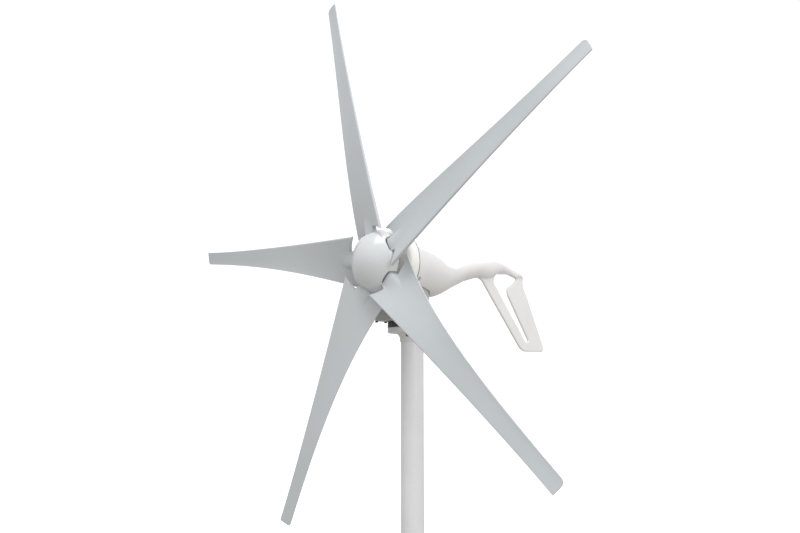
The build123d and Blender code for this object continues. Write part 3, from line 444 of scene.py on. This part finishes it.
def tip_limit(across):
    """Radius at which the blade ends, with its rounded tip corners."""
    end = np.full_like(across, ROTOR_RADIUS)
    for side, corner in TIP_CORNERS:
        inside = np.clip(side * across - (TIP_HALF_WIDTH - corner), 0, corner)
        end = np.minimum(end, ROTOR_RADIUS - corner + np.sqrt(corner**2 - inside**2))
    return end


def root_limit(across):
    """Radius at which the blade begins: the neck's inner end, eased out to the root arc."""
    arc = np.sqrt(np.clip(ROOT_ARC**2 - across**2, 1e-6, None))
    step = np.clip((np.abs(across) - FILLET_START) / FILLET_WIDTH, 0, 1)
    return NECK_START + (arc - NECK_START) * step**2 * (3 - 2 * step)


def blade_grid(spans, shares, side):
    """Points of one surface: rows run outwards, columns from the leading to the trailing edge."""
    span, share = np.meshgrid(spans, shares, indexing="ij")
    radius = ROOT_ARC + (ROTOR_RADIUS - ROOT_ARC) * span
    for _ in range(12):
        lead_t = leading_edge(radius)[1]
        across = lead_t + (trailing_edge(radius)[1] - lead_t) * share
        start = root_limit(across)
        radius = start + (tip_limit(across) - start) * span
    lead_y, lead_t = leading_edge(radius)
    trail_y, trail_t = trailing_edge(radius)
    chord = np.hypot(trail_y - lead_y, trail_t - lead_t)
    along_y, along_t = (trail_y - lead_y) / chord, (trail_t - lead_t) / chord
    thick = along_span(radius, at_tip=0.003, at_root=0.009, power=1)
    half = thick * thickness_share(share, NOSE_ROUNDNESS * thick / chord)
    camber = CAMBER * chord * 4 * share * (1 - share)
    away = chord * (share + lead_t / (trail_t - lead_t))
    offset = side * (half + neck_rise(radius, away, half, side)) + camber
    y = lead_y + along_y * chord * share + along_t * offset
    across = lead_t + along_t * chord * share - along_y * offset
    return np.stack([radius, across, y], -1)


def add_strip(work, first, second):
    """Row of faces between two rows of points."""
    for index in range(len(first) - 1):
        work.faces.new((first[index], first[index + 1], second[index + 1], second[index]))


def add_grid(work, points, place):
    """Faces over a grid of points; gives back the rows."""
    rows = [[work.verts.new(place(point)) for point in row] for row in points]
    for first, second in zip(rows, rows[1:]):
        add_strip(work, first, second)
    return rows


def circle(centre, radius, first, last, count, endpoint=True):
    """Points on an arc, from the first to the last angle in degrees."""
    angles = np.radians(np.linspace(first, last, count, endpoint=endpoint))
    return [(centre[0] + radius * math.cos(a), centre[1] + radius * math.sin(a)) for a in angles]


def lug_mesh():
    """Flat clamped lug with its three bolt holes, made from a filled outline with eased edges."""
    outline = bpy.data.curves.new("lug", "CURVE")
    outline.dimensions = "2D"
    outline.fill_mode = "BOTH"
    outline.extrude = LUG_HALF_THICKNESS - LUG_EDGE
    outline.bevel_depth = LUG_EDGE
    outline.bevel_resolution = 2

    def loop(points):
        spline = outline.splines.new("POLY")
        spline.points.add(len(points) - 1)
        for point, (x, y) in zip(spline.points, points):
            point.co = (x, y, 0, 1)
        spline.use_cyclic_u = True

    outwards = (LUG_OUTER - LUG_CORNER, LUG_INNER + LUG_CORNER)
    sideways = LUG_HALF_WIDTH - LUG_CORNER
    corners = [(outwards[0], sideways), (outwards[1], sideways)]
    corners += [(x, -y) for x, y in reversed(corners)]
    rounded = []
    for quarter, corner in enumerate(corners):
        rounded += circle(corner, LUG_CORNER, 90 * quarter, 90 * quarter + 90, 6)
    loop(rounded)
    for hole in BOLT_HOLES:
        loop(circle(hole, BOLT_HOLE_RADIUS, 0, -360, 24, endpoint=False))
    piece = bpy.data.objects.new("lug", outline)
    scene.collection.objects.link(piece)
    bpy.context.view_layer.update()
    return applied(piece)


def blade_place(angle):
    """From blade coordinates (outwards, across, downwind) to the row frame."""
    turn = math.radians(angle)
    out = Vector((math.cos(turn), 0, math.sin(turn)))
    across = Vector((-math.sin(turn), 0, math.cos(turn)))
    centre = Vector((0, TIP_Y, HUB_HEIGHT))

    def place(point):
        return centre + out * float(point[0]) + across * float(point[1]) + Vector((0, float(point[2]), 0))

    return place


def blade_mesh(name, place, upwind, downwind, lug_points, lug_faces):
    """Closed blade from its two surfaces and the strips between them, with its lug."""
    work = bmesh.new()
    front = add_grid(work, upwind, place)
    back = add_grid(work, downwind, place)
    add_strip(work, front[0], back[0])
    add_strip(work, front[-1], back[-1])
    for column in (-1, 0):
        add_strip(work, [row[column] for row in front], [row[column] for row in back])
    bmesh.ops.remove_doubles(work, verts=work.verts, dist=MERGE_DISTANCE)
    made = [work.verts.new(place((x, y, LUG_Y + z))) for x, y, z in lug_points]
    for face in lug_faces:
        work.faces.new([made[index] for index in face])
    bmesh.ops.recalc_face_normals(work, faces=work.faces)
    mesh = bpy.data.meshes.new(name)
    work.to_mesh(mesh)
    work.free()
    return mesh


def make_blades():
    """Five blades from one pair of surfaces, with denser rows and columns at the neck and the tip."""
    spans = np.concatenate(
        [np.linspace(0, 0.10, 34), np.linspace(0.10, 0.97, 60)[1:], np.linspace(0.97, 1, 14)[1:]]
    )
    evenly = 0.5 - 0.5 * np.cos(np.linspace(0, np.pi, 45))
    beside_neck = [np.linspace(0.255, 0.335, 15), np.linspace(0.61, 0.70, 15)]
    shares = np.unique(np.round(np.concatenate([evenly, *beside_neck]), 4))
    upwind = blade_grid(spans, shares, -1)
    downwind = blade_grid(spans, shares, 1)
    lug = lug_mesh()
    lug_faces = [tuple(polygon.vertices) for polygon in lug.polygons]
    lug_points = [tuple(vertex.co) for vertex in lug.vertices]
    for number in range(1, BLADE_COUNT + 1):
        name = f"blade_{number}_moulding"
        place = blade_place(FIRST_BLADE_ANGLE + 360 / BLADE_COUNT * (number - 1))
        mesh = blade_mesh(name, place, upwind, downwind, lug_points, lug_faces)
        piece = new_piece(name, mesh, f"blade_{number}")
        sharpen(piece, CORNER_DEGREES)


def make_seam_shade_ring():
    """Dark ring in the seam between the front cover and the tail shroud, in the o-ring's finish: painted
    shade of the seam's gap.
    """
    section = [
        (SEAM_INNER, SEAM_FRONT),
        (SEAM_OUTER - SEAM_LIP, SEAM_FRONT),
        (SEAM_OUTER, SEAM_FRONT + SEAM_LIP),
        (SEAM_OUTER, SEAM_BACK - SEAM_LIP),
        (SEAM_OUTER - SEAM_LIP, SEAM_BACK),
        (SEAM_INNER, SEAM_BACK),
    ]
    steps = 180
    work = bmesh.new()
    rings = []
    for step in range(steps):
        turn = 2 * math.pi * step / steps
        rings.append(
            [
                work.verts.new((r * math.cos(turn), TIP_Y + y, HUB_HEIGHT + r * math.sin(turn)))
                for r, y in section
            ]
        )
    for first, second in zip(rings, rings[1:] + rings[:1]):
        for index in range(len(section)):
            after = (index + 1) % len(section)
            work.faces.new((first[index], first[after], second[after], second[index]))
    bmesh.ops.recalc_face_normals(work, faces=work.faces)
    mesh = bpy.data.meshes.new("seam_shade_ring")
    work.to_mesh(mesh)
    work.free()
    piece = new_piece("seam_shade_ring", mesh, "housing_o_ring", replaces=False)
    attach(piece, "nacelle")
    sharpen(piece, CORNER_DEGREES)


def sharpen(piece, degrees):
    """Flat look kept across real corners only."""
    mesh = piece.data
    work = bmesh.new()
    work.from_mesh(mesh)
    limit = math.radians(degrees)
    for edge in work.edges:
        if len(edge.link_faces) == 2 and edge.calc_face_angle(0) > limit:
            edge.smooth = False
    work.to_mesh(mesh)
    work.free()


make_blades()
# dark ring in the seam: painted shade of the gap
make_seam_shade_ring()
softened("tail_shroud", voxel=0.0013, rounds=14)
softened("nose_cone", voxel=0.0006, rounds=4)
softened("yaw_housing", voxel=0.0011, rounds=3)
softened("mast_flange", voxel=0.0009, rounds=2)


# ---- Camera ----
def place_camera():
    """Camera below the hub's height, in front and to the right, looking slightly up."""
    azimuth = math.radians(CAMERA_AZIMUTH)
    elevation = math.radians(CAMERA_ELEVATION)
    back = Vector(
        (
            math.sin(azimuth) * math.cos(elevation),
            -math.cos(azimuth) * math.cos(elevation),
            math.sin(elevation),
        )
    )
    right = Vector((math.cos(azimuth), math.sin(azimuth), 0))
    matrix = Matrix((right, back.cross(right), back)).transposed().to_4x4()
    matrix.translation = Vector(CAMERA_PLACE)
    data = bpy.data.cameras.new("camera")
    data.lens = CAMERA_LENS
    data.sensor_width = CAMERA_SENSOR
    data.clip_end = 100
    camera = bpy.data.objects.new("camera", data)
    scene.collection.objects.link(camera)
    camera.matrix_world = matrix
    scene.camera = camera


# ---- Floor, world and lights ----
def make_stage():
    """Pale bowl: a flat floor that curves up far away, so that there is no horizon."""
    profile = [(2.0, 0.0), (5.0, 0.0), (7.0, 0.15), (8.5, 0.8), (9.4, 2.0), (9.8, 4.0), (10.0, 9.0)]
    below_mast = 0.002
    steps = 64
    work = bmesh.new()
    rings = []
    for radius, height in profile:
        ring = circle((0, 0), radius, 0, 360, steps, endpoint=False)
        rings.append([work.verts.new((x, y, height - below_mast)) for x, y in ring])
    for first, second in zip(rings, rings[1:]):
        for k in range(steps):
            work.faces.new((first[k], second[k], second[(k + 1) % steps], first[(k + 1) % steps]))
    work.faces.new(rings[0])
    mesh = bpy.data.meshes.new("floor")
    work.to_mesh(mesh)
    work.free()
    for polygon in mesh.polygons:
        polygon.use_smooth = True
    floor = bpy.data.objects.new("floor", mesh)
    scene.collection.objects.link(floor)
    material, tree, shader = new_material("floor_white")
    space = object_coords(tree)
    tone = ramp(tree, noise(tree, space, 3, 3), [(0.3, (0.80, 0.80, 0.80)), (0.7, (0.86, 0.86, 0.86))])
    tree.links.new(tone, shader.inputs["Base Color"])
    shader.inputs["Roughness"].default_value = 0.9
    shader.inputs["Emission Color"].default_value = (1, 1, 1, 1)
    shader.inputs["Emission Strength"].default_value = 0.45
    mesh.materials.append(material)
    floor.visible_diffuse = False
    floor.visible_glossy = False


def make_world():
    """Soft white room: cool and bright above, warmer and dimmer below, a little darker on the left."""
    world = bpy.data.worlds.new("studio")
    scene.world = world
    world.use_nodes = True
    tree = world.node_tree
    background = tree.nodes["Background"]
    coords = add(tree, "ShaderNodeTexCoord")
    split = add(tree, "ShaderNodeSeparateXYZ")
    tree.links.new(coords.outputs["Generated"], split.inputs["Vector"])
    sky = ramp(
        tree,
        spread(tree, split.outputs["Z"], 0.0, 1.0, -1.0, 1.0),
        [
            (0.0, (0.55, 0.54, 0.51)),
            (0.42, (0.63, 0.62, 0.60)),
            (0.50, (0.86, 0.86, 0.86)),
            (0.62, (0.97, 1.0, 1.03)),
            (1.0, (0.96, 1.0, 1.04)),
        ],
    )
    sideways = spread(tree, split.outputs["X"], 0.86, 1.08, -1.0, 1.0)
    tree.links.new(blend(tree, 1.0, sky, sideways, "MULTIPLY"), background.inputs["Color"])
    background.inputs["Strength"].default_value = 1.02


def area_light(name, place, target, size, power):
    """Soft box that faces the target."""
    data = bpy.data.lights.new(name, "AREA")
    data.shape = "RECTANGLE"
    data.size, data.size_y = size
    data.energy = power
    light = bpy.data.objects.new(name, data)
    scene.collection.objects.link(light)
    light.location = place
    light.rotation_euler = (Vector(target) - Vector(place)).to_track_quat("-Z", "Y").to_euler()


place_camera()
make_stage()
make_world()
hub_centre = (0, 0, HUB_HEIGHT)
area_light("top_box", (0.3, -0.9, 3.2), hub_centre, size=(2.6, 1.8), power=54)
area_light("right_fill", (3.4, -1.2, 1.4), hub_centre, size=(1.6, 2.4), power=38)
area_light("rear_rim", (-0.6, 2.8, 2.2), hub_centre, size=(2.0, 1.4), power=18)
scene.view_settings.view_transform = "Standard"
